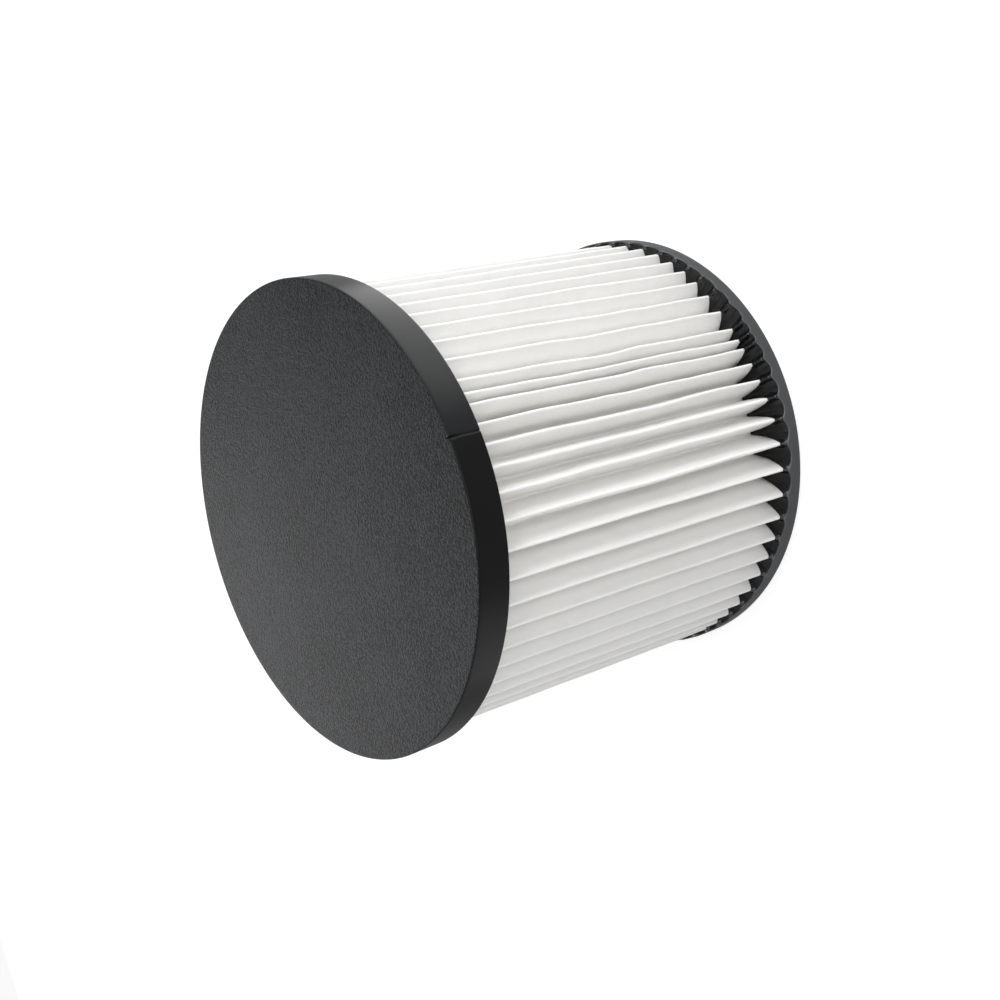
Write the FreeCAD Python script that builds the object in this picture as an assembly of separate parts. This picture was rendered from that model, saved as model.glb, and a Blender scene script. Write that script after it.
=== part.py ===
import FreeCAD, Part
import math
import os

# Round cartridge filter element. It stands on its open end, with +Z up along the axis and the origin
# in the middle of the sealing face that it stands on. All sizes are in millimetres, angles in degrees.

# End caps, each one casting around the ends of the pleats
cap_radius = 62.5
body_length = 117.0            # from the closed face to the back of the open end cap
closed_cap_height = 9.0
open_cap_height = 4.9
closed_cap_web = 3.5           # thickness of the closed cap in the middle, inside the core
inner_ledge = 3.7              # how far each casting reaches in past the core
closed_face_round = 0.7
open_face_round = 0.5

# Folded sheet
pleat_count = 65
crest_inset = 2.4              # from a cap's outer wall in to the crests of the pleats
pleat_depth = 11.4
sheet_thickness = 0.5
fold_inner_radius = 0.4
fold_flats = 4                 # narrow flats that make up the round of a fold
sheet_end_cover = 2.4          # casting between the sheet's end and the closed cap's face
sheet_end_web = 0.9            # casting between the sheet's end and the sealing ring's groove

# Where the crests stand round the axis
first_crest = -16.1
seam_azimuth = -64.0           # the sheet's two ends meet here, and the pleats beyond are crowded
crowding = 6.1                 # how far the crowded pleats are pushed back towards the seam
crowding_rise = 20.0           # angle from the seam over which the push grows
crowding_hold = 14.0
crowding_fall = 42.0           # angle over which the push dies out again
drift = 0.8                    # slow unevenness of the spacing
drift_waves = 7
drift_azimuth = -43.8

# Scalloped edge of the open end cap: the casting sags between each two pleats
dip_depth = 1.0
dip_share = 0.84               # width of a dip, as a share of the distance between its two crests

# Core inside the pleats
core_clearance = 0.2
core_wall = 1.8
core_ring_count = 7
core_ring_height = 2.6
core_rib_count = 18
core_rib_width = 3.0
core_end_band = 6.0
core_set_depth = 2.5           # how far each end of the core is set into its casting

# Bead of glue that closes the sheet, inside one pleat
bead_depth = 4.0

# Sealing ring in the groove of the open end cap
seal_inset = 7.5               # from the cap's outer wall in to the ring
seal_width = 8.0
seal_height = 2.5
seal_proud = 1.0               # how far the ring stands out of the cap
seal_side_gap = 0.15

# Heights and radii that follow from the sizes above
crest_radius = cap_radius - crest_inset
valley_radius = crest_radius - pleat_depth
fold_outer_radius = fold_inner_radius + sheet_thickness
core_outer_radius = valley_radius - sheet_thickness - core_clearance
core_inner_radius = core_outer_radius - core_wall
bore_radius = core_inner_radius - inner_ledge     # opening of the open cap, and recess in the closed one
seal_outer_radius = cap_radius - seal_inset
seal_inner_radius = seal_outer_radius - seal_width
top = seal_proud + body_length
open_cap_top = seal_proud + open_cap_height
closed_cap_bottom = top - closed_cap_height
groove_roof = seal_height
sheet_bottom = groove_roof + sheet_end_web
sheet_top = top - sheet_end_cover
pitch = 360.0 / pleat_count
overrun = 1.0                  # how far a cutting tool runs past the face that it opens


def point(x, y, z=0.0):
    return FreeCAD.Vector(x, y, z)


def polar(radius, azimuth, z=0.0):
    turn = math.radians(azimuth)
    return point(radius * math.cos(turn), radius * math.sin(turn), z)


def smooth(share):
    """Ease from 0 to 1 with level ends."""
    share = min(max(share, 0.0), 1.0)
    return (1.0 - math.cos(math.pi * share)) / 2.0


def crest_azimuth(index):
    """Azimuth of a crest: even spacing, plus the crowding beside the seam and the slow drift."""
    even = first_crest - pitch * index
    past_seam = (seam_azimuth - even) % 360.0
    push = smooth(past_seam / crowding_rise)
    push -= smooth((past_seam - crowding_rise - crowding_hold) / crowding_fall)
    wave = math.sin(math.radians(drift_waves * (drift_azimuth - even)))
    return even + crowding * push + drift * wave


def crest_azimuths():
    """All crests in rising order, as one turn."""
    return [crest_azimuth(-index) for index in range(pleat_count)]


def folds():
    """Crests and valleys in rising order: the centre of each fold's round, and whether it's a crest."""
    crests = crest_azimuths()
    ends = crests[1:] + [crests[0] + 360.0]
    found = []
    for here, after in zip(crests, ends):
        found.append((polar(crest_radius - fold_outer_radius, here), True))
        found.append((polar(valley_radius + fold_inner_radius, (here + after) / 2.0), False))
    return found


def flank_normal(crest, valley, side):
    """Outward normal of the flat flank between a crest's round and a valley's round."""
    span = valley - crest
    turn = side * math.acos((fold_outer_radius + fold_inner_radius) / span.Length)
    span.normalize()
    return point(span.x * math.cos(turn) - span.y * math.sin(turn),
                 span.x * math.sin(turn) + span.y * math.cos(turn))


def fold_corners(centre, reach, before, after):
    """Corners of the narrow flats round a fold, from the normal of one flank to that of the next."""
    start = math.atan2(before.y, before.x)
    turn = (math.atan2(after.y, after.x) - start + math.pi) % (2.0 * math.pi) - math.pi
    headings = [math.degrees(start + turn * step / fold_flats) for step in range(fold_flats + 1)]
    return [centre + polar(reach, heading) for heading in headings]


def sheet_wire(crest_round, valley_round, z):
    """One face of the folded sheet, seen along the axis: flanks joined by round folds."""
    centres = folds()
    count = len(centres)
    normals = []
    for index in range(count):
        here, is_crest = centres[index]
        after = centres[(index + 1) % count][0]
        normals.append(flank_normal(here, after, -1) if is_crest else flank_normal(after, here, 1))
    corners = []
    for index in range(count):
        centre, is_crest = centres[index]
        reach = crest_round if is_crest else -valley_round
        corners += fold_corners(centre + point(0, 0, z), reach, normals[index - 1], normals[index])
    return Part.makePolygon(corners + corners[:1])


def outer_wire(z):
    return sheet_wire(fold_outer_radius, fold_inner_radius, z)


def inner_wire(z):
    return sheet_wire(fold_inner_radius, fold_outer_radius, z)


def circle_wire(radius, z):
    return Part.Wire(Part.makeCircle(radius, point(0, 0, z)))


def between(outside, inside, height):
    """Upright solid between two closed wires."""
    face = Part.makeFace([outside, inside], "Part::FaceMakerBullseye")
    return face.extrude(point(0, 0, height))


def tube(outer_radius, inner_radius, bottom, height):
    outside = Part.makeCylinder(outer_radius, height, point(0, 0, bottom))
    return outside.cut(Part.makeCylinder(inner_radius, height + 2 * overrun, point(0, 0, bottom - overrun)))


def outer_edges(solid, z):
    """Circular edges of the outer wall at one height."""
    found = []
    for edge in solid.Edges:
        circle = edge.Curve
        if not isinstance(circle, Part.Circle):
            continue
        if abs(circle.Radius - cap_radius) < 1e-6 and abs(circle.Center.z - z) < 1e-6:
            found.append(edge)
    return found


def core_socket(bottom, height):
    """Room that a casting leaves for one end of the core."""
    return tube(core_outer_radius, core_inner_radius, bottom, height)


def dips():
    """Round-bottomed troughs between the crests, for the sagging edge of the open end cap."""
    crests = crest_azimuths()
    ends = crests[1:] + [crests[0] + 360.0]
    troughs = []
    for here, after in zip(crests, ends):
        gap = 2.0 * cap_radius * math.sin(math.radians((after - here) / 2.0))
        width = dip_share * gap
        depth = dip_depth * (after - here) / pitch
        radius = (width ** 2 / 4.0 + depth ** 2) / (2.0 * depth)
        middle = (here + after) / 2.0
        start = polar(valley_radius, middle, open_cap_top + radius - depth)
        length = cap_radius - valley_radius + overrun
        troughs.append(Part.makeCylinder(radius, length, start, polar(1.0, middle)))
    return troughs


def make_closed_end_cap():
    """Casting with the flat closed face: a disc, a rim round the sheet and a recess inside the core."""
    disc = Part.makeCylinder(cap_radius, top - sheet_top, point(0, 0, sheet_top))
    rise = sheet_top - closed_cap_bottom
    rim = between(circle_wire(cap_radius, closed_cap_bottom), outer_wire(closed_cap_bottom), rise)
    inside = Part.Face(inner_wire(closed_cap_bottom)).extrude(point(0, 0, rise))
    cap = disc.fuse([rim, inside]).removeSplitter()
    cap = cap.makeFillet(closed_face_round, outer_edges(cap, top))
    recess = Part.makeCylinder(bore_radius, closed_cap_height - closed_cap_web + overrun,
                               point(0, 0, closed_cap_bottom - overrun))
    socket = core_socket(closed_cap_bottom - overrun, core_set_depth + overrun)
    return cap.cut([recess, socket])


def make_open_end_cap():
    """Cast ring round the opening, with a groove for the sealing ring and a scalloped free edge."""
    base = tube(cap_radius, bore_radius, seal_proud, sheet_bottom - seal_proud)
    rise = open_cap_top - sheet_bottom
    outside = between(circle_wire(cap_radius, sheet_bottom), outer_wire(sheet_bottom), rise)
    outside = outside.cut(dips())
    inside = between(inner_wire(sheet_bottom), circle_wire(bore_radius, sheet_bottom), rise)
    cap = base.fuse([outside, inside]).removeSplitter()
    cap = cap.makeFillet(open_face_round, outer_edges(cap, seal_proud))
    groove = tube(seal_outer_radius + seal_side_gap, seal_inner_radius - seal_side_gap,
                  seal_proud - overrun, groove_roof - seal_proud + overrun)
    socket = core_socket(open_cap_top - core_set_depth, core_set_depth + overrun)
    return cap.cut([groove, socket])


def make_pleated_media():
    """One sheet folded into pleats and closed into a ring."""
    return between(outer_wire(sheet_bottom), inner_wire(sheet_bottom), sheet_top - sheet_bottom)


def make_support_core():
    """Moulded cage: two end bands, rings between them and upright ribs."""
    bottom = open_cap_top - core_set_depth
    height = closed_cap_bottom + core_set_depth - bottom
    wall = tube(core_outer_radius, core_inner_radius, bottom, height)
    bars = []
    for index in range(core_rib_count):
        bar = Part.makeBox(core_outer_radius + overrun, core_rib_width, height,
                           point(0, -core_rib_width / 2.0, bottom))
        bar.rotate(point(0, 0, 0), point(0, 0, 1), 360.0 * index / core_rib_count)
        bars.append(bar)
    ribs = [wall.common(bar) for bar in bars]
    bands = [tube(core_outer_radius, core_inner_radius, bottom, core_end_band),
             tube(core_outer_radius, core_inner_radius, bottom + height - core_end_band, core_end_band)]
    open_height = height - 2.0 * core_end_band
    space = (open_height - core_ring_count * core_ring_height) / (core_ring_count + 1)
    for index in range(core_ring_count):
        ring_bottom = bottom + core_end_band + space + index * (space + core_ring_height)
        bands.append(tube(core_outer_radius, core_inner_radius, ring_bottom, core_ring_height))
    return bands[0].fuse(bands[1:] + ribs).removeSplitter()


def make_seam_bead():
    """Glue that fills the root of one pleat from the inside, where the sheet's two ends meet."""
    centres = folds()
    crests = crest_azimuths()
    nearest = min(range(pleat_count), key=lambda index: abs((crests[index] - seam_azimuth + 180) % 360 - 180))
    crest = centres[2 * nearest][0]
    before = flank_normal(crest, centres[2 * nearest - 1][0], 1)
    after = flank_normal(crest, centres[2 * nearest + 1][0], -1)
    root = fold_corners(crest, fold_inner_radius, before, after)
    first_end = root[0] + point(before.y, -before.x) * bead_depth
    last_end = root[-1] + point(-after.y, after.x) * bead_depth
    outline = Part.makePolygon([first_end] + root + [last_end, first_end])
    bead = Part.Face(outline).extrude(point(0, 0, closed_cap_bottom - open_cap_top))
    bead.translate(point(0, 0, open_cap_top))
    return bead


def make_sealing_ring():
    """Flat soft ring that the element stands on and seals with."""
    return tube(seal_outer_radius, seal_inner_radius, 0.0, seal_height)


nodes = {
    "closed_end_cap": make_closed_end_cap,
    "open_end_cap": make_open_end_cap,
    "pleated_media": make_pleated_media,
    "support_core": make_support_core,
    "seam_bead": make_seam_bead,
    "sealing_ring": make_sealing_ring,
}

os.makedirs("parts", exist_ok=True)
for name, make in nodes.items():
    shape = make()
    if len(shape.Solids) != 1 or not shape.isValid():
        raise ValueError(name + " isn't one sound solid")
    shape.Solids[0].exportStep("parts/" + name + ".step")
    print(name, round(shape.Volume), "mm3", len(shape.Faces), "faces")
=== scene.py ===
"""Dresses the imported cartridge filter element: cast end caps, pleated sheet, core, seal and a pale studio."""

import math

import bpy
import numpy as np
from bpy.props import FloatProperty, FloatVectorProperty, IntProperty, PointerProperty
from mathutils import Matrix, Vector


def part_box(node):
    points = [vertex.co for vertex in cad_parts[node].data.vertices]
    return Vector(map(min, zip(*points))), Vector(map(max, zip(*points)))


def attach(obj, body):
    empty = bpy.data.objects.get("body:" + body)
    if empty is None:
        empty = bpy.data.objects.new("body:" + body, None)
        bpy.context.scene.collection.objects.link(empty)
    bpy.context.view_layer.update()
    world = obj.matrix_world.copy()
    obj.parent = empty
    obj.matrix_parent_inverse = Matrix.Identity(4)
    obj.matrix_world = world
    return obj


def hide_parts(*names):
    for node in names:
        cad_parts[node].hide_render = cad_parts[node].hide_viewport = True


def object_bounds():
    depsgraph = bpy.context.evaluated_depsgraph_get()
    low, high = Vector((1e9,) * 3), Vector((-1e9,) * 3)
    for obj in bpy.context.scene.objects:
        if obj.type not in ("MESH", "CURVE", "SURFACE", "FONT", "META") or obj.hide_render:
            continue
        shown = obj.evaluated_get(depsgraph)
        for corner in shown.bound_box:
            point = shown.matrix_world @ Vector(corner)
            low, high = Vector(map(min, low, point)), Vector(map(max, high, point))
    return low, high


bl_info = {
    "name": "Cartridge filter element",
    "version": (1, 0, 0),
    "blender": (4, 5, 0),
    "location": "View3D > Sidebar > Filter",
    "description": "Builds the visible surfaces of a round pleated filter element and the studio around it",
    "category": "Object",
}

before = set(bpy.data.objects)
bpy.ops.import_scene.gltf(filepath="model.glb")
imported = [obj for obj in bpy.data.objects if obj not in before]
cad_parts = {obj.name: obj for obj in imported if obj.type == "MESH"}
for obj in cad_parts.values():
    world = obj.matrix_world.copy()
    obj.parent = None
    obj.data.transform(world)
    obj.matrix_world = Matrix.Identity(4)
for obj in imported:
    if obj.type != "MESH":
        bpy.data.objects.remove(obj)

MM = 0.001

# Places that the frame gives
closed_low, closed_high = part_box("closed_end_cap")
open_low, open_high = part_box("open_end_cap")
sheet_low, sheet_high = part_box("pleated_media")
cad_low, cad_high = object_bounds()
cap_radius = closed_high.x
top = closed_high.z
closed_cap_bottom = closed_low.z
lip = open_high.z
back = open_low.z

# Sizes inside the caps that no box gives, the same as in the part's source
bore_radius = 42.5 * MM
closed_cap_web = 3.5 * MM
seal_radii = (46.85 * MM, 55.15 * MM)
groove_roof = 2.5 * MM
crest_inset = 2.4 * MM
crest_radius = cap_radius - crest_inset

# Where the crests stand, in degrees: even spacing, a crowd beside the seam and a slow drift
FIRST_CREST = -16.1
SEAM_AZIMUTH = -64.5
SEAM_CREST = 56
CROWDING = 5.5
CROWDING_RISE = 14.7
CROWDING_HOLD = 20.5
CROWDING_FALL = 38.3
DRIFT = 0.7
DRIFT_WAVES = 9
DRIFT_AZIMUTH = -43.7

# Where the crests sink in beside the open cap, in degrees from the middle of the dent
DENT_AZIMUTH = -71.0
DENT_REACH = 43.0

# Where the casting of the open cap sags most between the pleats, and the share of that elsewhere
SAG_AZIMUTH = -80.0
SAG_REACH = 50.0
SAG_ELSEWHERE = 0.25

# Casting of the open cap between the pleats: the bowl's width as a share of the gap, how much sooner than
# the sheet it gets to its lowest inwards, the ridge and the nub between a crest and the wall, and the
# meniscus, which is tall at the crest and soon fades to a share of that on the flanks
BOWL_WIDTH = 0.84
FALL_PACE = 1.2
RIDGE_WIDTH = 0.6 * MM
RIDGE_HEIGHT = 0.12 * MM
MENISCUS_WIDTH = 0.5 * MM
MENISCUS_ON_FLANKS = 0.2
MENISCUS_FADE = 0.15
NUB_INSET = 1.2 * MM
NUB_WIDTH = 0.35 * MM

# How the crests wander: cells of the noise round the element and along a crest, the share that is left
# far from the dent, and how many times the dent's reach that is
WANDER_ROUND = 7.0
WANDER_ALONG = 3.4
WANDER_ELSEWHERE = 0.3
WANDER_REACH = 1.4

# Where the mould's parting line crosses the rim of the closed cap, and how wide it is, in degrees
PARTING_AZIMUTH = -79.4
PARTING_WIDTH = 0.2

# The parting line gets deeper near the face: by how much, from how far down and over what height
NOTCH_GAIN = 2.5
NOTCH_START = 3.0 * MM
NOTCH_HEIGHT = 2.5 * MM

# Shares of the rim's colour on the two sides of the parting line, and how wide the change is. The step is
# partly the two mould halves' finish and partly painted light: the half towards the key light is painted
# lighter and the half away from it darker
RIM_HALVES_AND_PAINTED_LIGHT = (1.9, 0.4)
HALVES_BLEND = 0.5 * MM

# Colours of the pieces inside
CORE_COLOUR = (0.028, 0.028, 0.03)
SEAL_COLOUR = (0.022, 0.022, 0.022)
GLUE_COLOUR = (0.62, 0.57, 0.42)

# Rows of points up the pleated sheet
SHEET_ROWS = 36


class PleatSettings(bpy.types.PropertyGroup):
    """Sizes and colour of the pleated sheet."""
    count: IntProperty(name="Pleats", description="Pleats round the element", default=65, min=8)
    depth: FloatProperty(name="Depth", description="From a crest in to a valley",
                         default=11.4 * MM, unit="LENGTH", precision=5)
    thickness: FloatProperty(name="Sheet", description="Thickness of the sheet",
                             default=0.38 * MM, unit="LENGTH", precision=5)
    crest_fold: FloatProperty(name="Crest fold", description="Outer radius of the fold at a crest",
                              default=0.42 * MM, unit="LENGTH", precision=5)
    valley_fold: FloatProperty(name="Valley fold",
                               description="Radius of the fold at a valley, seen from outside",
                               default=0.4 * MM, unit="LENGTH", precision=5)
    flare: FloatProperty(name="Flare", description="How much further out the crests are at the open end cap",
                         default=1.4 * MM, unit="LENGTH", precision=5)
    lean: FloatProperty(name="Lean", description="How much further in the crests are at the closed end cap",
                        default=0.8 * MM, unit="LENGTH", precision=5)
    dent: FloatProperty(name="Dent",
                        description="How far the crests sink in at the open end cap beside the seam",
                        default=3.0 * MM, unit="LENGTH", precision=5)
    sway: FloatProperty(name="Sway", description="How far the crests wander sideways between the caps",
                        default=0.7 * MM, unit="LENGTH", precision=5)
    dip: FloatProperty(name="Dip", description="How far the crests sink in places",
                       default=0.45 * MM, unit="LENGTH", precision=5)
    belly: FloatProperty(name="Belly",
                         description="How full the pleats are: 0 for flat flanks, 1 for round ones",
                         default=0.2, min=0, max=1)
    draw: FloatProperty(name="Draw", description="How far the valleys stand off the core half way up",
                        default=1.0 * MM, unit="LENGTH", precision=5)
    colour: FloatVectorProperty(name="Colour", description="Colour of the non-woven", subtype="COLOR",
                                default=(0.955, 0.945, 0.915), min=0, max=1)


class CapSettings(bpy.types.PropertyGroup):
    """Finish of the two cast end caps."""
    edge: FloatProperty(name="Edge", description="Round between the closed face and its rim",
                        default=0.3 * MM, unit="LENGTH", precision=5)
    grain: FloatProperty(name="Grain", description="Size of the moulded grain on the faces",
                         default=0.6 * MM, unit="LENGTH", precision=5)
    sag: FloatProperty(name="Sag", description="How far the casting sags between two pleats at the wall",
                       default=1.2 * MM, unit="LENGTH", precision=5)
    climb: FloatProperty(name="Climb", description="How far the casting climbs up each crest",
                         default=1.3 * MM, unit="LENGTH", precision=5)
    fall: FloatProperty(name="Fall",
                        description="How much lower the casting lies in the valleys than at the wall",
                        default=1.4 * MM, unit="LENGTH", precision=5)
    nub: FloatProperty(name="Nub", description="Height of the nub between each crest and the wall",
                       default=0.35 * MM, unit="LENGTH", precision=5)
    parting: FloatProperty(name="Parting line",
                           description="Depth of the parting line across the closed cap's rim",
                           default=0.35 * MM, unit="LENGTH", precision=5)
    colour: FloatVectorProperty(name="Colour", description="Colour of the casting", subtype="COLOR",
                                default=(0.005, 0.0052, 0.0058), min=0, max=1)
    face_colour: FloatVectorProperty(name="Face", description="Colour of the grained faces", subtype="COLOR",
                                     default=(0.0128, 0.0137, 0.016), min=0, max=1)
    # The open cap's wall is given a colour about ten times paler than the rest of the casting
    wall_colour: FloatVectorProperty(name="Wall",
                                     description="Colour of the open cap's wall, under a dry bloom",
                                     subtype="COLOR", default=(0.057, 0.059, 0.063), min=0, max=1)


class StageSettings(bpy.types.PropertyGroup):
    """Floor and light."""
    floor: FloatVectorProperty(name="Floor", description="Colour of the floor", subtype="COLOR",
                               default=(0.45, 0.45, 0.45), min=0, max=1)
    glow: FloatProperty(name="Glow", description="What the floor shows by itself to the camera",
                        default=0.77, min=0)
    gloss_glow: FloatProperty(name="Glow in gloss", description="What the floor shows by itself in gloss",
                              default=0.05, min=0)
    sky: FloatProperty(name="Sky", description="Strength of the even light from all round",
                       default=0.3, min=0)
    key: FloatProperty(name="Key", description="Power of the main softbox", default=7.2, min=0, unit="POWER")
    fill: FloatProperty(name="Fill", description="Power of the softbox beside the camera",
                        default=2.9, min=0, unit="POWER")
    low: FloatProperty(name="Low", description="Power of the softbox across from the main one",
                       default=1.2, min=0, unit="POWER")
    back: FloatProperty(name="Back", description="Power of the low softbox behind the element",
                        default=1.9, min=0, unit="POWER")
    card: FloatProperty(name="Card", description="Power of the card that gives the rim its shine",
                        default=0.25, min=0, unit="POWER")
    low_card: FloatProperty(name="Low card", description="Power of the card across from it",
                            default=0.03, min=0, unit="POWER")


def smooth(share):
    """Ease from 0 to 1 with level ends."""
    return (1.0 - np.cos(np.pi * np.clip(share, 0.0, 1.0))) / 2.0


def apart(azimuths, middle):
    """How far azimuths lie from a middle one, in degrees, the short way round."""
    return np.abs(np.mod(azimuths - middle + 180.0, 360.0) - 180.0)


def crest_azimuth(index, count):
    """Azimuth in degrees of a crest, or between crests for a part index."""
    even = FIRST_CREST + index * 360.0 / count
    past_seam = np.mod(SEAM_AZIMUTH - even, 360.0)
    push = smooth(past_seam / CROWDING_RISE)
    push = push - smooth((past_seam - CROWDING_RISE - CROWDING_HOLD) / CROWDING_FALL)
    wave = np.sin(np.radians(DRIFT_WAVES * (DRIFT_AZIMUTH - even)))
    return even + CROWDING * push + DRIFT * wave


class Number:
    """A number in a node tree. Arithmetic with it adds Math nodes."""

    def __init__(self, tree, socket):
        self.tree = tree
        self.socket = socket

    def math(self, operation, *others):
        node = self.tree.nodes.new("ShaderNodeMath")
        node.operation = operation
        for place, value in enumerate((self, *others)):
            if isinstance(value, Number):
                self.tree.links.new(value.socket, node.inputs[place])
            else:
                node.inputs[place].default_value = value
        return Number(self.tree, node.outputs[0])

    def __add__(self, other):
        return self.math("ADD", other)

    def __sub__(self, other):
        return self.math("SUBTRACT", other)

    def __mul__(self, other):
        return self.math("MULTIPLY", other)

    def __truediv__(self, other):
        return self.math("DIVIDE", other)

    def clamped(self):
        return self.math("MAXIMUM", 0.0).math("MINIMUM", 1.0)

    def eased(self):
        return (self.clamped() * math.pi).math("COSINE") * -0.5 + 0.5


def node(tree, kind, **inputs):
    """Adds a node and sets its inputs, by name, to numbers or sockets."""
    made = tree.nodes.new(kind)
    for name, value in inputs.items():
        socket = made.inputs[name.replace("_", " ")]
        if isinstance(value, Number):
            value = value.socket
        if isinstance(value, bpy.types.NodeSocket):
            tree.links.new(value, socket)
        else:
            socket.default_value = value
    return made


def plain_mesh(piece, name):
    """The evaluated object as one plain mesh object, with the modifiers gone."""
    graph = bpy.context.evaluated_depsgraph_get()
    mesh = bpy.data.meshes.new_from_object(piece.evaluated_get(graph))
    mesh.name = name
    old = piece.data
    piece.modifiers.clear()
    piece.data = mesh
    bpy.data.meshes.remove(old)
    piece.name = name
    return piece


def new_object(name, mesh):
    piece = bpy.data.objects.new(name, mesh)
    bpy.context.scene.collection.objects.link(piece)
    return piece


def mesh_object(name, points, faces, face_materials=None, materials=()):
    """A smooth mesh object from points, faces and one material number for each face."""
    mesh = bpy.data.meshes.new(name)
    mesh.from_pydata(np.asarray(points).tolist(), [], faces)
    for material in materials:
        mesh.materials.append(material)
    if face_materials is not None:
        mesh.polygons.foreach_set("material_index", face_materials)
    mesh.shade_smooth()
    mesh.update()
    return new_object(name, mesh)


# Materials

def new_material(name):
    material = bpy.data.materials.new(name)
    material.use_nodes = True
    tree = material.node_tree
    shader = next(n for n in tree.nodes if n.type == "BSDF_PRINCIPLED")
    place = tree.nodes.new("ShaderNodeTexCoord").outputs["Object"]
    return material, tree, shader, place


def add_bump(tree, shader, height, distance):
    """Bump of the given distance where the height goes from 0 to 1."""
    bump = node(tree, "ShaderNodeBump", Height=height, Distance=distance, Strength=1.0)
    tree.links.new(bump.outputs["Normal"], shader.inputs["Normal"])


def add_colour(tree, shader, colour, factor, low, high, span=(0.0, 1.0)):
    """Base colour: the colour times a share, from low to high while the factor goes through the span."""
    ramp = node(tree, "ShaderNodeMapRange", Value=factor, From_Min=span[0], From_Max=span[1],
                To_Min=low, To_Max=high)
    mix = tree.nodes.new("ShaderNodeVectorMath")
    mix.operation = "SCALE"
    mix.inputs[0].default_value = colour
    tree.links.new(ramp.outputs["Result"], mix.inputs["Scale"])
    tree.links.new(mix.outputs["Vector"], shader.inputs["Base Color"])


def grained_casting(settings):
    """Closed face: fine moulded grain over slow, faint blotches."""
    material, tree, shader, place = new_material("grained_casting")
    grain = node(tree, "ShaderNodeTexNoise", Vector=place, Scale=1.0 / settings.grain, Detail=2.0,
                 Roughness=0.7)
    add_bump(tree, shader, grain.outputs["Fac"], 0.3 * MM)
    blotch = node(tree, "ShaderNodeTexNoise", Vector=place, Scale=45.0, Detail=3.0)
    tone = Number(tree, grain.outputs["Fac"]) * 0.8 + Number(tree, blotch.outputs["Fac"]) * 0.2
    add_colour(tree, shader, settings.face_colour, tone, 0.1, 1.9, span=(0.4, 0.6))
    shader.inputs["Roughness"].default_value = 0.42
    shader.inputs["Specular IOR Level"].default_value = 0.15
    return material


def smooth_casting(name, colour, shine, halves=(1.0, 1.0)):
    """Rim and outer walls: satin, with the faintest mottling.

    halves are the shares of the colour before and past the parting line, partly from the two halves of the
    mould and partly painted light, lighter on the side towards the key light.
    """
    material, tree, shader, place = new_material(name)
    mottle = node(tree, "ShaderNodeTexNoise", Vector=place, Scale=900.0, Detail=2.0)
    slow = node(tree, "ShaderNodeTexNoise", Vector=place, Scale=60.0, Detail=3.0)
    add_bump(tree, shader, mottle.outputs["Fac"], 0.012 * MM)
    split = node(tree, "ShaderNodeSeparateXYZ", Vector=place)
    turn = math.radians(PARTING_AZIMUTH)
    beside = Number(tree, split.outputs["Y"]) * math.cos(turn)
    beside = beside - Number(tree, split.outputs["X"]) * math.sin(turn)
    # Painted light: the rim's half towards the key light is made lighter and the other half darker, split at
    # the parting line
    half = (beside * (1.0 / HALVES_BLEND) + 0.5).clamped() * (halves[0] - halves[1]) + halves[1]
    tone = (Number(tree, slow.outputs["Fac"]) * 0.3 + 0.85) * half
    add_colour(tree, shader, colour, tone, 0.0, 2.0, span=(0.0, 2.0))
    rough = node(tree, "ShaderNodeMapRange", Value=slow.outputs["Fac"], To_Min=0.28, To_Max=0.36)
    tree.links.new(rough.outputs["Result"], shader.inputs["Roughness"])
    shader.inputs["Specular IOR Level"].default_value = shine
    return material


def poured_casting(settings):
    """Free surface between the pleats: glossy skin with small ripples."""
    material, tree, shader, place = new_material("poured_casting")
    ripple = node(tree, "ShaderNodeTexNoise", Vector=place, Scale=350.0, Detail=3.0)
    add_bump(tree, shader, ripple.outputs["Fac"], 0.12 * MM)
    add_colour(tree, shader, settings.colour, ripple.outputs["Fac"], 0.8, 1.2)
    shader.inputs["Roughness"].default_value = 0.22
    shader.inputs["Specular IOR Level"].default_value = 0.4
    return material


def non_woven(settings):
    """White spun fibre: fibres laid along the pleats, soft fuzz and faint cloudiness."""
    material, tree, shader, place = new_material("non_woven")
    stretched = node(tree, "ShaderNodeMapping", Vector=place, Scale=(1.0, 1.0, 0.25))
    fibre = node(tree, "ShaderNodeTexNoise", Vector=stretched.outputs["Vector"], Scale=2600.0, Detail=4.0)
    cloud = node(tree, "ShaderNodeTexNoise", Vector=place, Scale=260.0, Detail=3.0)
    height = Number(tree, fibre.outputs["Fac"]) * 0.5 + Number(tree, cloud.outputs["Fac"])
    add_bump(tree, shader, height, 0.04 * MM)
    add_colour(tree, shader, settings.colour, cloud.outputs["Fac"], 0.97, 1.03)
    shader.inputs["Roughness"].default_value = 0.9
    shader.inputs["Specular IOR Level"].default_value = 0.15
    shader.inputs["Sheen Weight"].default_value = 0.15
    shader.inputs["Subsurface Weight"].default_value = 0.5
    shader.inputs["Subsurface Radius"].default_value = (1.0, 0.95, 0.85)
    shader.inputs["Subsurface Scale"].default_value = 1.0 * MM
    return material


def moulded_plastic():
    """Core inside the pleats: plain black moulding."""
    material, tree, shader, place = new_material("moulded_plastic")
    flow = node(tree, "ShaderNodeTexNoise", Vector=place, Scale=220.0, Detail=3.0)
    add_bump(tree, shader, flow.outputs["Fac"], 0.03 * MM)
    add_colour(tree, shader, CORE_COLOUR, flow.outputs["Fac"], 0.8, 1.2)
    shader.inputs["Roughness"].default_value = 0.4
    return material


def soft_rubber():
    """Sealing ring: dull, with a dusty bloom."""
    material, tree, shader, place = new_material("soft_rubber")
    pores = node(tree, "ShaderNodeTexNoise", Vector=place, Scale=1500.0, Detail=2.0)
    bloom = node(tree, "ShaderNodeTexNoise", Vector=place, Scale=70.0, Detail=4.0)
    add_bump(tree, shader, pores.outputs["Fac"], 0.04 * MM)
    add_colour(tree, shader, SEAL_COLOUR, bloom.outputs["Fac"], 0.7, 1.5)
    shader.inputs["Roughness"].default_value = 0.75
    return material


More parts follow.
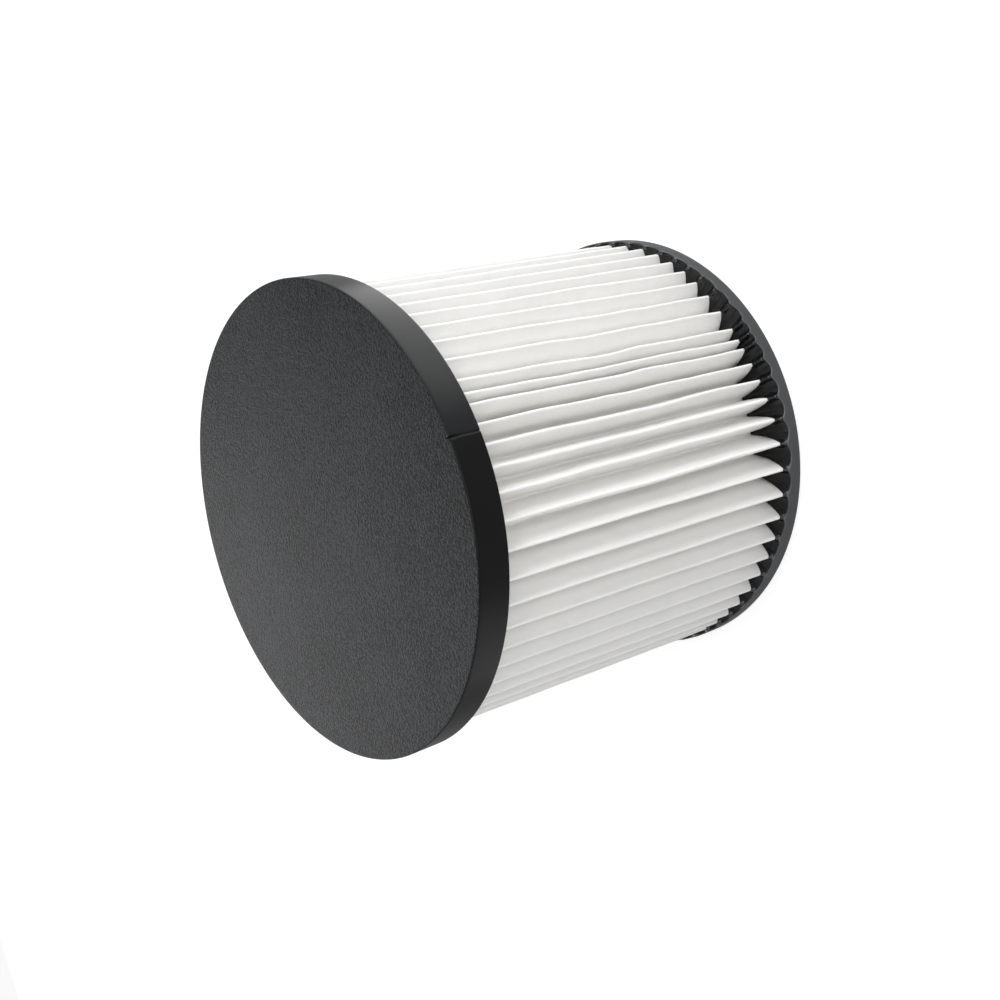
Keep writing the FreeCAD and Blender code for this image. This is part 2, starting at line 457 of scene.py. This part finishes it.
def hot_melt():
    """Glue bead at the seam: waxy and slightly yellow."""
    material, tree, shader, place = new_material("hot_melt")
    lumps = node(tree, "ShaderNodeTexNoise", Vector=place, Scale=300.0, Detail=2.0)
    add_bump(tree, shader, lumps.outputs["Fac"], 0.1 * MM)
    add_colour(tree, shader, GLUE_COLOUR, lumps.outputs["Fac"], 0.9, 1.1)
    shader.inputs["Roughness"].default_value = 0.35
    return material


# Meshes

def arc(centre, radius, start, end, steps):
    """Points on an arc in the r, z plane, angles in degrees."""
    turns = np.radians(np.linspace(start, end, steps))
    return [(centre[0] + radius * math.cos(t), centre[1] + radius * math.sin(t)) for t in turns]


def turned(name, profile, turns, sunk, materials, profile_materials):
    """Closed solid turned about Z from a profile of (radius, height) whose two ends are on the axis.

    turns are the azimuths of its columns, in radians, and sunk is how far each column's rim lies under the
    rest, which gets more near the top.
    """
    segments = len(turns)
    rings = np.array(profile[1:-1])
    rim = rings[:, 0].max()
    points = [(0.0, 0.0, profile[0][1])]
    for radius, height in rings:
        notch = 1.0 + NOTCH_GAIN * smooth((height - top + NOTCH_START) / NOTCH_HEIGHT)
        reach = np.minimum(radius, rim - sunk * notch)
        points.extend(np.c_[reach * np.cos(turns), reach * np.sin(turns), np.full(segments, height)])
    points.append((0.0, 0.0, profile[-1][1]))
    faces = []
    kinds = []
    for i in range(segments):
        j = (i + 1) % segments
        faces.append((0, 1 + i, 1 + j))
        kinds.append(profile_materials[0])
    for ring in range(len(rings) - 1):
        start = 1 + ring * segments
        for i in range(segments):
            j = (i + 1) % segments
            faces.append((start + i, start + segments + i, start + segments + j, start + j))
            kinds.append(profile_materials[ring + 1])
    start = 1 + (len(rings) - 1) * segments
    last = len(points) - 1
    for i in range(segments):
        j = (i + 1) % segments
        faces.append((start + i, last, start + j))
        kinds.append(profile_materials[-1])
    return mesh_object(name, points, faces, kinds, materials)


def make_closed_cap(settings):
    """Disc with a grained face, a rounded edge, a smooth rim and a recess underneath."""
    edge = settings.edge
    foot = 0.15 * MM
    profile = [(0.0, top), (cap_radius * 0.5, top), (cap_radius - 3 * edge, top)]
    face_rows = len(profile)
    profile += arc((cap_radius - edge, top - edge), edge, 90, 0, 7)
    # Rings where the parting line gets deeper
    profile += [(cap_radius, top - drop) for drop in (1.0 * MM, 1.6 * MM, 2.2 * MM, NOTCH_START)]
    profile += [(cap_radius, closed_cap_bottom + 2 * edge)]
    profile += arc((cap_radius - foot, closed_cap_bottom + foot), foot, 0, -90, 4)
    roof = top - closed_cap_web
    recess = [(bore_radius, closed_cap_bottom), (bore_radius, roof), (0.0, roof)]
    profile += recess
    grained, satin, poured = 0, 1, 2
    kinds = [grained] * (face_rows + 1)
    kinds += [satin] * (len(profile) - 1 - len(kinds) - len(recess)) + [poured] * len(recess)
    # Extra columns beside the parting line, which is a groove about half a millimetre wide
    across = np.array([-0.45, -0.3, -0.15, 0.0, 0.15, 0.3, 0.45])
    even = np.arange(360.0) + PARTING_AZIMUTH
    turns = np.sort(np.r_[even[1:], PARTING_AZIMUTH + across])
    sunk = settings.parting * np.exp(-(apart(turns, PARTING_AZIMUTH) / PARTING_WIDTH) ** 2)
    # The rim's colour halves hold painted light as well as the mould's two finishes
    rim = smooth_casting("smooth_casting", settings.colour, 0.2, RIM_HALVES_AND_PAINTED_LIGHT)
    return turned("closed_end_cap_casting", profile, np.radians(turns), sunk,
                  (grained_casting(settings), rim, poured_casting(settings)), kinds)


def tip_radius(azimuths, pleats):
    """How far out the crests are where they rise from the open cap, at azimuths in radians."""
    away = apart(np.degrees(azimuths), DENT_AZIMUTH)
    return crest_radius + pleats.flare - pleats.dent * smooth(1.0 - away / DENT_REACH)


def gap_places(samples, count):
    """Round the element once: azimuth in radians, share of the gap from its crest, and half the gap."""
    azimuths = []
    shares = []
    halves = []
    for crest in range(count):
        here = crest_azimuth(crest, count)
        beyond = crest_azimuth(crest + 1, count)
        for step in range(samples):
            place = step / samples
            azimuths.append(math.radians(here + (beyond - here) * place))
            shares.append(min(place, 1.0 - place) * 2.0)
            halves.append(math.radians(beyond - here) / 2.0)
    return np.array(azimuths), np.array(shares), np.array(halves)


def casting_height(radius, share, half, tip, sag, cap, pleats):
    """Height of the free surface of the open cap: it sags between the crests and climbs up the sheet.

    share is 0 at a crest and 1 half way to the next, half is half the gap in radians, and tip is how far out
    the crests are there.
    """
    fold = pleats.crest_fold
    aside = share * half * radius
    sag = sag * half / np.radians(180.0 / pleats.count)
    bowl = np.clip(1.0 - ((1.0 - share) / BOWL_WIDTH) ** 2, 0.0, 1.0)
    inward = np.clip((tip - radius) / (tip - crest_radius + pleats.depth), 0.0, 1.0)
    level = lip - sag * bowl * (1.0 - inward) - cap.fall * smooth(FALL_PACE * inward)
    outward = np.clip((radius - tip) / (cap_radius - tip), 0.0, 1.0)
    ridge = (cap.climb * (1.0 - smooth(outward)) + RIDGE_HEIGHT) * np.exp(-(aside / RIDGE_WIDTH) ** 2)
    flank = fold + (half * radius - pleats.valley_fold - fold) * inward
    from_sheet = np.where(radius > tip - fold, np.hypot(radius - tip + fold, aside) - fold, aside - flank)
    # The meniscus is tall at the crest and low on the flanks
    tall = np.exp(-inward / MENISCUS_FADE)
    climb = cap.climb * (MENISCUS_ON_FLANKS + (1.0 - MENISCUS_ON_FLANKS) * tall)
    meniscus = climb * np.exp(-np.maximum(from_sheet, 0.0) / MENISCUS_WIDTH)
    from_nub = np.hypot(radius - cap_radius + NUB_INSET, aside)
    nub = cap.nub * np.exp(-(from_nub / NUB_WIDTH) ** 2)
    return level + np.where(inward > 0.0, meniscus, np.maximum(meniscus, ridge)) + nub


def make_open_cap(cap, pleats):
    """Ring cast round the opening: free surface with menisci, outer wall, and the groove underneath."""
    azimuths, shares, halves = gap_places(24, pleats.count)
    columns = len(azimuths)
    edge = 0.25 * MM
    tips = tip_radius(azimuths, pleats)
    near = smooth(1.0 - apart(np.degrees(azimuths), SAG_AZIMUTH) / SAG_REACH)
    sags = cap.sag * (SAG_ELSEWHERE + (1.0 - SAG_ELSEWHERE) * near)
    valley = crest_radius - pleats.depth
    # Rings of the free surface: round of the wall's edge, fine ones out to the crests, coarser ones inside
    radii = [cap_radius, cap_radius - 0.3 * edge, cap_radius - edge]
    edge_rings = len(radii)
    radii += list(np.linspace(cap_radius - 1.6 * edge, tips.min() - 0.5 * MM, 17))
    radii += list(np.linspace(tips.min() - 1.2 * MM, valley, 13))
    radii += [bore_radius + 0.3 * MM, bore_radius]
    rings = []
    satin, poured = 0, 1
    kinds = [satin] * edge_rings + [poured] * (len(radii) - edge_rings)
    for radius in radii:
        height = casting_height(radius, shares, halves, tips, sags, cap, pleats)
        past = max(0.0, 1.0 - (cap_radius - radius) / edge)
        drop = edge * (1.0 - math.sqrt(max(0.0, 1.0 - past ** 2)))
        rings.append((np.full(columns, radius), height - drop))
    # Bore wall and the underside with its groove, then the outer wall back up to the lip
    foot = 0.5 * MM
    low, high = seal_radii
    below = [(bore_radius, back), (low, back), (low, groove_roof), (high, groove_roof), (high, back)]
    below += arc((cap_radius - foot, back + foot), foot, -90, 0, 5)
    wall_top = rings[0][1]
    for radius, height in below:
        rings.append((np.full(columns, radius), np.full(columns, height)))
        kinds.append(satin)
    for step in (0.35, 0.7, 0.9):
        rings.append((np.full(columns, cap_radius), back + foot + (wall_top - back - foot) * step))
        kinds.append(satin)
    kinds[len(radii) - 1] = satin
    points = np.concatenate([np.c_[r * np.cos(azimuths), r * np.sin(azimuths), z] for r, z in rings])
    faces = []
    face_kinds = []
    for ring in range(len(rings)):
        here = ring * columns
        there = (ring + 1) % len(rings) * columns
        for i in range(columns):
            j = (i + 1) % columns
            faces.append((here + i, here + j, there + j, there + i))
            face_kinds.append(kinds[ring])
    wall = smooth_casting("pale_wall_casting", cap.wall_colour, 0.5)
    return mesh_object("open_end_cap_casting", points, faces, face_kinds, (wall, poured_casting(cap)))


# Pleated sheet, as a node tree

CREST_SIZES = ("Count", "Crest Radius", "Flare", "Lean", "Dent", "Sway", "Dip")


def crest_group():
    """Node group: where a crest stands at a share of the height, as an azimuth in radians and a radius."""
    tree = bpy.data.node_groups.new("Crest", "GeometryNodeTree")
    face = tree.interface
    for name in ("Index", "Share", *CREST_SIZES):
        face.new_socket(name, in_out="INPUT", socket_type="NodeSocketFloat")
    face.new_socket("Azimuth", in_out="OUTPUT", socket_type="NodeSocketFloat")
    face.new_socket("Radius", in_out="OUTPUT", socket_type="NodeSocketFloat")
    given = tree.nodes.new("NodeGroupInput")
    index, share, count, radius, flare, lean, dent, sway, dip = [
        Number(tree, socket) for socket in given.outputs if socket.name]
    even = (index / count) * 360.0 + FIRST_CREST
    past_seam = (even * -1.0 + (SEAM_AZIMUTH + 720.0)).math("FLOORED_MODULO", 360.0)
    push = (past_seam / CROWDING_RISE).eased()
    push = push - ((past_seam - (CROWDING_RISE + CROWDING_HOLD)) / CROWDING_FALL).eased()
    wave = ((even * -1.0 + DRIFT_AZIMUTH) * math.radians(DRIFT_WAVES)).math("SINE")
    degrees = even + push * CROWDING + wave * DRIFT
    azimuth = degrees * math.radians(1.0)
    away = ((degrees - (DENT_AZIMUTH - 180.0)).math("FLOORED_MODULO", 360.0) - 180.0).math("ABSOLUTE")
    sunk = dent * (away / -DENT_REACH + 1.0).eased()
    # A slow wander sideways and in, most beside the dent, and nothing where the castings hold the sheet
    place = tree.nodes.new("ShaderNodeCombineXYZ")
    tree.links.new((azimuth.math("COSINE") * WANDER_ROUND).socket, place.inputs["X"])
    tree.links.new((azimuth.math("SINE") * WANDER_ROUND).socket, place.inputs["Y"])
    tree.links.new((share * WANDER_ALONG).socket, place.inputs["Z"])
    noise = node(tree, "ShaderNodeTexNoise", Vector=place.outputs["Vector"], Scale=1.0, Detail=2.0)
    noise.normalize = False
    free = (share * math.pi).math("SINE").math("MAXIMUM", 0.0).math("POWER", 0.6)
    parts = node(tree, "ShaderNodeSeparateXYZ", Vector=noise.outputs["Color"])
    sideways = Number(tree, parts.outputs["X"])
    inwards = Number(tree, parts.outputs["Y"]).math("ABSOLUTE")
    near = (away / -WANDER_REACH / DENT_REACH + 1.0).eased()
    handled = near * (1.0 - WANDER_ELSEWHERE) + WANDER_ELSEWHERE
    given_back = tree.nodes.new("NodeGroupOutput")
    tree.links.new((azimuth + sideways * free * handled * sway / radius).socket, given_back.inputs["Azimuth"])
    leaned = radius + (flare - sunk) * (share * -1.0 + 1.0) - lean * share
    tree.links.new((leaned - inwards * free * handled * dip).socket, given_back.inputs["Radius"])
    return tree


def crest_at(tree, crest, values, index, share):
    """Azimuth and radius of one crest at a share of the sheet's height."""
    made = tree.nodes.new("GeometryNodeGroup")
    made.node_tree = crest
    given = {"Index": index, "Share": share, **{name: values[name] for name in CREST_SIZES}}
    for name, value in given.items():
        if isinstance(value, Number):
            tree.links.new(value.socket, made.inputs[name])
        else:
            made.inputs[name].default_value = value
    return Number(tree, made.outputs["Azimuth"]), Number(tree, made.outputs["Radius"])


def round_place(tree, azimuth, radius, height):
    """Place at an azimuth in radians, a radius and a height."""
    place = tree.nodes.new("ShaderNodeCombineXYZ")
    tree.links.new((radius * azimuth.math("COSINE")).socket, place.inputs["X"])
    tree.links.new((radius * azimuth.math("SINE")).socket, place.inputs["Y"])
    tree.links.new(height.socket, place.inputs["Z"])
    return place.outputs["Vector"]


def new_tree(name, sizes):
    """Node tree with one geometry output and the named sizes as inputs, and its inputs as numbers."""
    tree = bpy.data.node_groups.new(name, "GeometryNodeTree")
    tree.interface.new_socket("Geometry", in_out="OUTPUT", socket_type="NodeSocketGeometry")
    for size in sizes:
        kind = "NodeSocketInt" if size in ("Count", "Rows", "Index") else "NodeSocketFloat"
        tree.interface.new_socket(size, in_out="INPUT", socket_type=kind)
    given = tree.nodes.new("NodeGroupInput")
    return tree, {socket.name: Number(tree, socket) for socket in given.outputs if socket.name}


def end_tree(tree, geometry, material):
    """Ends a node tree with real geometry in one material."""
    real = node(tree, "GeometryNodeRealizeInstances", Geometry=geometry)
    dyed = node(tree, "GeometryNodeSetMaterial", Geometry=real.outputs["Geometry"], Material=material)
    given_back = tree.nodes.new("NodeGroupOutput")
    tree.links.new(dyed.outputs["Geometry"], given_back.inputs["Geometry"])
    return tree


def grown(name, tree, sizes):
    """Object with a modifier that runs the tree with these sizes."""
    piece = new_object(name, bpy.data.meshes.new(name))
    modifier = piece.modifiers.new(name, "NODES")
    modifier.node_group = tree
    for item in tree.interface.items_tree:
        if item.in_out == "INPUT":
            modifier[item.identifier] = sizes[item.name]
    return piece


def crest_sizes(settings):
    return {"Count": settings.count, "Crest Radius": crest_radius, "Flare": settings.flare,
            "Lean": settings.lean, "Dent": settings.dent, "Sway": settings.sway, "Dip": settings.dip,
            "Bottom": sheet_low.z, "Top": sheet_high.z}


def pleat_tree(crest, material):
    """Node tree that folds one long sheet into pleats and closes it into a ring."""
    tree, values = new_tree("Pleats", (*CREST_SIZES, "Bottom", "Top", "Valley Radius", "Draw", "Crest Fold",
                                       "Valley Fold", "Belly", "Rows"))
    count = values["Count"]
    outer = values["Crest Fold"]
    inner = values["Valley Fold"]
    crest_steps, flank_steps, valley_steps = 3, 5, 2
    half_steps = crest_steps + flank_steps + valley_steps
    grid = node(tree, "GeometryNodeMeshGrid", Size_X=1.0, Size_Y=1.0,
                Vertices_X=count * (2.0 * half_steps) + 1.0, Vertices_Y=values["Rows"])
    split = tree.nodes.new("ShaderNodeSeparateXYZ")
    tree.links.new(tree.nodes.new("GeometryNodeInputPosition").outputs["Position"], split.inputs["Vector"])
    along = (Number(tree, split.outputs["X"]) + 0.5) * count
    share = Number(tree, split.outputs["Y"]) + 0.5
    nearest = (along + 0.5).math("FLOOR")
    off = along - nearest
    side = off.math("SIGN")
    pace = off.math("ABSOLUTE") * 2.0
    here, here_radius = crest_at(tree, crest, values, nearest, share)
    beyond, beyond_radius = crest_at(tree, crest, values, nearest + side, share)
    half_gap = (beyond - here).math("ABSOLUTE") * 0.5
    free = (share * math.pi).math("SINE").math("MAXIMUM", 0.0).math("POWER", 0.5)
    depth = (here_radius + beyond_radius) * 0.5 - values["Valley Radius"] - free * values["Draw"]
    # Crest round, straight flank, valley round
    crest_end = crest_steps / half_steps
    valley_start = (crest_steps + flank_steps) / half_steps
    turn = (pace / crest_end).clamped() * (math.pi / 2)
    flank = ((pace - crest_end) / (valley_start - crest_end)).clamped()
    last = ((pace - valley_start) / (1.0 - valley_start)).clamped()
    back_turn = (last * -1.0 + 1.0) * (math.pi / 2)
    fall = outer * (turn.math("COSINE") * -1.0 + 1.0) + flank * (depth - inner - outer)
    fall = fall + inner * back_turn.math("COSINE")
    reach = here_radius - fall + (beyond_radius - here_radius) * pace * 0.5
    width = half_gap * reach
    # The flanks swell between the castings, so that each pleat is full near its crest
    swell = (flank * -1.0 + 1.0).math("POWER", free * values["Belly"] * 1.5 + 1.0) * -1.0 + 1.0
    aside = outer * turn.math("SINE") + swell * (width - inner - outer)
    aside = aside + inner * (back_turn.math("SINE") * -1.0 + 1.0)
    height = values["Bottom"] + (values["Top"] - values["Bottom"]) * share
    folded = node(tree, "GeometryNodeSetPosition", Geometry=grid.outputs["Mesh"],
                  Position=round_place(tree, here + side * aside / reach, reach, height))
    closed = node(tree, "GeometryNodeMergeByDistance", Geometry=folded.outputs["Geometry"],
                  Distance=0.01 * MM)
    return end_tree(tree, closed.outputs["Geometry"], material)


def bead_tree(crest, material):
    """Node tree for the bead that follows the inside of one crest, narrow outside and wide inside."""
    tree, values = new_tree("Bead", (*CREST_SIZES, "Bottom", "Top", "Index", "From", "To", "Near", "Far",
                                     "Narrow", "Wide", "Rows"))
    block = node(tree, "GeometryNodeMeshCube", Size=(1.0, 1.0, 1.0), Vertices_X=2, Vertices_Y=2,
                 Vertices_Z=values["Rows"])
    split = tree.nodes.new("ShaderNodeSeparateXYZ")
    tree.links.new(tree.nodes.new("GeometryNodeInputPosition").outputs["Position"], split.inputs["Vector"])
    outward = Number(tree, split.outputs["X"]) + 0.5
    side = Number(tree, split.outputs["Y"])
    height = values["From"] + (values["To"] - values["From"]) * (Number(tree, split.outputs["Z"]) + 0.5)
    share = (height - values["Bottom"]) / (values["Top"] - values["Bottom"])
    azimuth, radius = crest_at(tree, crest, values, values["Index"], share)
    reach = radius - values["Far"] + (values["Far"] - values["Near"]) * outward
    width = values["Wide"] + (values["Narrow"] - values["Wide"]) * outward
    laid = node(tree, "GeometryNodeSetPosition", Geometry=block.outputs["Mesh"],
                Position=round_place(tree, azimuth + side * width / reach, reach, height))
    return end_tree(tree, laid.outputs["Geometry"], material)


def make_bead(settings):
    tree = bead_tree(crest_group(), hot_melt())
    low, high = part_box("seam_bead")
    sizes = {**crest_sizes(settings), "Index": SEAM_CREST, "From": low.z, "To": high.z, "Near": 1.3 * MM,
             "Far": 5.0 * MM, "Narrow": 0.2 * MM, "Wide": 0.7 * MM, "Rows": SHEET_ROWS}
    return plain_mesh(grown("seam_glue", tree, sizes), "seam_glue")


def make_pleats(settings):
    tree = pleat_tree(crest_group(), non_woven(settings))
    sizes = {**crest_sizes(settings), "Valley Radius": crest_radius - settings.depth, "Draw": settings.draw,
             "Crest Fold": settings.crest_fold, "Valley Fold": settings.valley_fold,
             "Belly": settings.belly, "Rows": SHEET_ROWS}
    piece = grown("pleated_sheet", tree, sizes)
    wall = piece.modifiers.new("Wall", "SOLIDIFY")
    wall.thickness = settings.thickness
    wall.offset = -1.0
    wall.use_even_offset = True
    plain_mesh(piece, "pleated_sheet")
    piece.data.shade_smooth()
    return piece


# Operators

class FILTER_OT_closed_cap(bpy.types.Operator):
    """Build the closed end cap's casting"""
    bl_idname = "filter_element.closed_cap"
    bl_label = "Closed end cap"

    def execute(self, context):
        piece = make_closed_cap(context.scene.filter_caps)
        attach(piece, "root")
        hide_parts("closed_end_cap")
        return {"FINISHED"}


class FILTER_OT_open_cap(bpy.types.Operator):
    """Build the open end cap's casting round the feet of the pleats"""
    bl_idname = "filter_element.open_cap"
    bl_label = "Open end cap"

    def execute(self, context):
        piece = make_open_cap(context.scene.filter_caps, context.scene.filter_pleats)
        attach(piece, "root")
        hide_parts("open_end_cap")
        return {"FINISHED"}


class FILTER_OT_pleats(bpy.types.Operator):
    """Fold the sheet into pleats"""
    bl_idname = "filter_element.pleats"
    bl_label = "Pleated sheet"

    def execute(self, context):
        piece = make_pleats(context.scene.filter_pleats)
        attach(piece, "root")
        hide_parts("pleated_media")
        return {"FINISHED"}


class FILTER_OT_seam(bpy.types.Operator):
    """Lay the glue bead into the crest that joins the ends of the sheet"""
    bl_idname = "filter_element.seam"
    bl_label = "Seam bead"

    def execute(self, context):
        piece = make_bead(context.scene.filter_pleats)
        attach(piece, "root")
        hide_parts("seam_bead")
        return {"FINISHED"}


class FILTER_OT_inner_parts(bpy.types.Operator):
    """Finish the core and the sealing ring"""
    bl_idname = "filter_element.inner_parts"
    bl_label = "Core and seal"

    def execute(self, context):
        finishes = {"support_core": moulded_plastic, "sealing_ring": soft_rubber}
        for name, make in finishes.items():
            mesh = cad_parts[name].data
            mesh.materials.clear()
            mesh.materials.append(make())
        return {"FINISHED"}


# Studio

CAMERA_PLACE = (0.0, -286.5 * MM, 289.6 * MM)
CAMERA_LENS = 46.56
SENSOR = 36.0
# The camera's turn about the vertical, its tilt, and its turn about the line of sight, in degrees
CAMERA_TURNS = (1.2, 51.2, -105.2)

# The floor lies a hair under the sealing ring, so that the two don't share a plane
FLOOR_GAP = 0.05 * MM
FLOOR_RADIUS = 4.0


def add_softbox(name, place, target, size, power):
    light = bpy.data.lights.new(name, "AREA")
    light.shape = "RECTANGLE"
    light.size, light.size_y = size
    light.energy = power
    piece = new_object(name, light)
    piece.location = place
    piece.rotation_euler = (Vector(target) - Vector(place)).to_track_quat("-Z", "Y").to_euler()
    return piece


def add_card(name, place, size, power):
    """Card lying just over the floor, which shows only as shine on the rim."""
    above = Vector(place) + Vector((0.0, 0.0, 1.0))
    piece = add_softbox(name, place, above, size, power)
    piece.visible_camera = False
    piece.visible_diffuse = False
    return piece


def ray_kinds(tree):
    """Two numbers: 1 for a ray straight from the camera or through something clear, 1 for one in gloss."""
    path = tree.nodes.new("ShaderNodeLightPath")
    straight, through, glossy = [Number(tree, path.outputs[name]) for name in
                                 ("Is Camera Ray", "Is Transmission Ray", "Is Glossy Ray")]
    return straight.math("MAXIMUM", through), glossy


def floor_material(settings):
    """Pale floor that shows nearly white to the camera, is dimmer in gloss, and keeps a soft shadow."""
    material, tree, shader, place = new_material("studio_floor")
    shader.inputs["Base Color"].default_value = (*settings.floor, 1.0)
    shader.inputs["Roughness"].default_value = 0.9
    shader.inputs["Specular IOR Level"].default_value = 0.0
    cloud = node(tree, "ShaderNodeTexNoise", Vector=place, Scale=3.0)
    add_bump(tree, shader, cloud.outputs["Fac"], 0.01 * MM)
    straight, glossy = ray_kinds(tree)
    strength = (straight * settings.glow).math("MAXIMUM", glossy * settings.gloss_glow)
    glow = node(tree, "ShaderNodeEmission", Strength=strength)
    both = tree.nodes.new("ShaderNodeAddShader")
    tree.links.new(shader.outputs["BSDF"], both.inputs[0])
    tree.links.new(glow.outputs["Emission"], both.inputs[1])
    out = next(n for n in tree.nodes if n.type == "OUTPUT_MATERIAL")
    tree.links.new(both.outputs["Shader"], out.inputs["Surface"])
    return material


def pale_world(settings):
    """White backdrop that gets dimmer overhead in gloss, and gives its own even light."""
    world = bpy.data.worlds.new("studio_air")
    world.use_nodes = True
    tree = world.node_tree
    sky = next(n for n in tree.nodes if n.type == "BACKGROUND")
    straight, glossy = ray_kinds(tree)
    way = tree.nodes.new("ShaderNodeTexCoord").outputs["Generated"]
    rise = Number(tree, node(tree, "ShaderNodeSeparateXYZ", Vector=way).outputs["Z"])
    wall = node(tree, "ShaderNodeMapRange", Value=rise, From_Min=0.25, From_Max=0.8, To_Min=1.0, To_Max=0.1)
    strength = straight.math("MAXIMUM", glossy * Number(tree, wall.outputs["Result"]))
    strength = strength.math("MAXIMUM", settings.sky)
    tree.links.new(strength.socket, sky.inputs["Strength"])
    sky.inputs["Color"].default_value = (1.0, 1.0, 1.0, 1.0)
    bpy.context.scene.world = world


def add_camera():
    camera = bpy.data.cameras.new("photo_camera")
    camera.lens = CAMERA_LENS
    camera.sensor_width = SENSOR
    camera.clip_start = 0.01
    camera.clip_end = 20.0
    piece = new_object("photo_camera", camera)
    turns = zip(CAMERA_TURNS, "ZXZ")
    about, tilt, roll = [Matrix.Rotation(math.radians(turn), 4, axis) for turn, axis in turns]
    piece.matrix_world = Matrix.Translation(CAMERA_PLACE) @ (about @ tilt @ roll)
    bpy.context.scene.camera = piece


def make_stage(settings):
    turns = np.linspace(0.0, 2.0 * np.pi, 96, endpoint=False)
    level = cad_low.z - FLOOR_GAP
    points = [(0.0, 0.0, level)]
    points += [(FLOOR_RADIUS * math.cos(t), FLOOR_RADIUS * math.sin(t), level) for t in turns]
    faces = [(0, 1 + i, 1 + (i + 1) % len(turns)) for i in range(len(turns))]
    floor = mesh_object("studio_floor", points, faces, materials=(floor_material(settings),))
    pale_world(settings)
    middle = (0.0, 0.0, 0.06)
    add_softbox("key_softbox", (0.75, -0.30, 0.50), middle, (0.7, 0.7), settings.key)
    add_softbox("fill_softbox", (0.0, -0.75, 0.45), middle, (0.6, 0.5), settings.fill)
    add_softbox("low_softbox", (-0.80, -0.30, 0.25), middle, (0.6, 0.6), settings.low)
    add_softbox("back_softbox", (-0.15, 0.85, 0.22), middle, (0.6, 0.4), settings.back)
    add_card("rim_card", (0.175, -0.06, 0.002), (0.15, 0.24), settings.card)
    add_card("low_rim_card", (-0.19, -0.08, 0.002), (0.10, 0.14), settings.low_card)
    add_camera()
    bpy.context.scene.view_settings.view_transform = "Standard"


class FILTER_OT_stage(bpy.types.Operator):
    """Set the floor, the light and the camera"""
    bl_idname = "filter_element.stage"
    bl_label = "Studio"

    def execute(self, context):
        make_stage(context.scene.filter_stage)
        return {"FINISHED"}


class FILTER_PT_panel(bpy.types.Panel):
    """Sizes, colours and build steps of the filter element"""
    bl_label = "Filter element"
    bl_idname = "FILTER_PT_panel"
    bl_space_type = "VIEW_3D"
    bl_region_type = "UI"
    bl_category = "Filter"

    def draw(self, context):
        for group in ("filter_caps", "filter_pleats", "filter_stage"):
            box = self.layout.box()
            settings = getattr(context.scene, group)
            for name in settings.__annotations__:
                box.prop(settings, name)
        for operator in OPERATORS:
            self.layout.operator(operator.bl_idname)


OPERATORS = (FILTER_OT_closed_cap, FILTER_OT_open_cap, FILTER_OT_pleats, FILTER_OT_seam,
             FILTER_OT_inner_parts, FILTER_OT_stage)
CLASSES = (PleatSettings, CapSettings, StageSettings, *OPERATORS, FILTER_PT_panel)


def register():
    for kind in CLASSES:
        bpy.utils.register_class(kind)
    bpy.types.Scene.filter_pleats = PointerProperty(type=PleatSettings)
    bpy.types.Scene.filter_caps = PointerProperty(type=CapSettings)
    bpy.types.Scene.filter_stage = PointerProperty(type=StageSettings)


def unregister():
    del bpy.types.Scene.filter_stage
    del bpy.types.Scene.filter_caps
    del bpy.types.Scene.filter_pleats
    for kind in reversed(CLASSES):
        bpy.utils.unregister_class(kind)


def main():
    register()
    bpy.ops.filter_element.closed_cap()
    bpy.ops.filter_element.open_cap()
    bpy.ops.filter_element.pleats()
    bpy.ops.filter_element.seam()
    bpy.ops.filter_element.inner_parts()
    bpy.ops.filter_element.stage()


if __name__ == "__main__":
    main()
